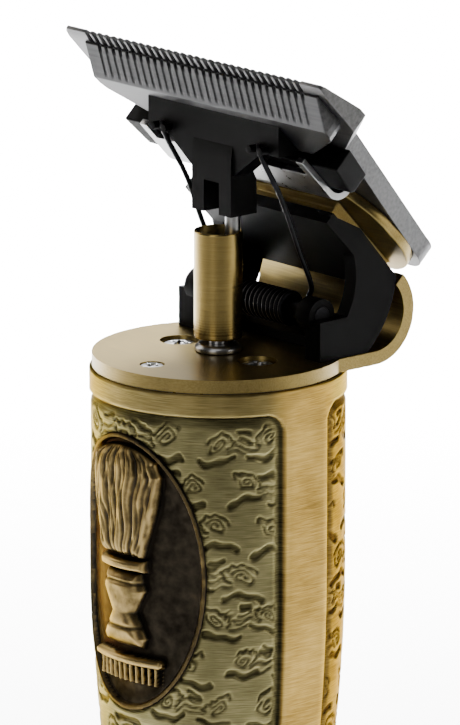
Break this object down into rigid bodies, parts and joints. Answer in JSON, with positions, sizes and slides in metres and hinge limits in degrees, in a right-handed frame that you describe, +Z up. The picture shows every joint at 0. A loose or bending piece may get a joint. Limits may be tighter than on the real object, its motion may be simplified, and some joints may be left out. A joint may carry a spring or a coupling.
{
  "type": "hair clipper",
  "caption": "Cordless all-metal T-blade hair clipper with an antique brass body, oval relief medallion, open gooseneck and a bare eccentric drive",
  "frame": {"origin": "centre of the flat bottom face of the body", "axes": "+Z up along the body tube, towards the blade; -Y is the front, with the medallion and the button; +X to the right seen from the front, along the blade's teeth"},
  "size_m": [0.0426, 0.0359, 0.158],
  "materials": {
    "antique_brass": "antique bronze plating over a zinc casting, dark in the recesses, brushed bright on the high faces",
    "medallion_brass": "antique brass relief, dark field, rubbed bright on the high spots",
    "bright_brass": "turned brass with fine rings",
    "blade_steel": "satin ground steel",
    "polished_steel": "bright steel",
    "black_plastic": "moulded, satin",
    "black_wire": "black oxide spring wire",
    "black_rubber": "matt",
    "battery_wrap": "shrink sleeve",
    "board_green": "solder mask",
    "chip_black": "moulded",
    "copper": "bare copper",
    "magnet_grey": "ferrite",
    "rotor_steel": "stacked laminations",
    "white_plastic": "moulded nylon",
    "clear_lens": "frosted light guide",
    "lead_red": "wire insulation"
  },
  "bodies": {
    "housing": {"battery_cell": "battery_wrap", "battery_strips": "polished_steel", "blade_guide": "polished_steel", "blade_plate": "antique_brass", "blade_screws": "polished_steel", "board_chips": "chip_black", "bottom_cap": "antique_brass", "bottom_screws": "polished_steel", "cap_gasket": "black_rubber", "charge_board": "board_green", "charging_socket": "polished_steel", "circuit_board": "board_green", "fixed_blade": "blade_steel", "guide_spacer": "black_plastic", "holder_lower": "white_plastic", "holder_upper": "white_plastic", "housing": "antique_brass", "led_lens": "clear_lens", "lower_bearing": "bright_brass", "medallion": "medallion_brass", "motor_brushes": "copper", "motor_can": "polished_steel", "motor_end_cap": "white_plastic", "motor_leads": "lead_red", "motor_magnets": "magnet_grey", "motor_terminals": "copper", "neck_bracket": "antique_brass", "plate_screws": "polished_steel", "spring_bracket": "black_plastic", "spring_pin": "black_wire", "tact_switch": "chip_black", "torsion_spring": "black_wire", "upper_bearing": "polished_steel"},
    "drive": {"motor_shaft": "polished_steel", "motor_rotor": "rotor_steel", "commutator": "copper", "drive_sleeve": "bright_brass", "drive_pin": "polished_steel"},
    "blade_carrier": {"moving_blade": "blade_steel", "swing_fork": "black_plastic"},
    "button": {"power_button": "polished_steel"}
  },
  "joints": [
    {"name": "drive_spin", "type": "hinge", "parent": "housing", "child": "drive", "pos_m": [0, 0, 0.124], "axis": [0, 0, 1], "range_deg": [-46.5, 133.5]},
    {"name": "blade_slide", "type": "slide", "parent": "housing", "child": "blade_carrier", "axis": [1, 0, 0], "range_m": [-0.00271, 0.00094], "deforming": ["torsion_spring"]},
    {"name": "button_press", "type": "slide", "parent": "housing", "child": "button", "axis": [0, 1, 0], "range_m": [0, 0.00035], "stiffness_N_per_m": 800}
  ],
  "couplings": [
    {"joint": "blade_slide", "follows": "drive_spin", "m_per_rad": -0.0011594}
  ]
}
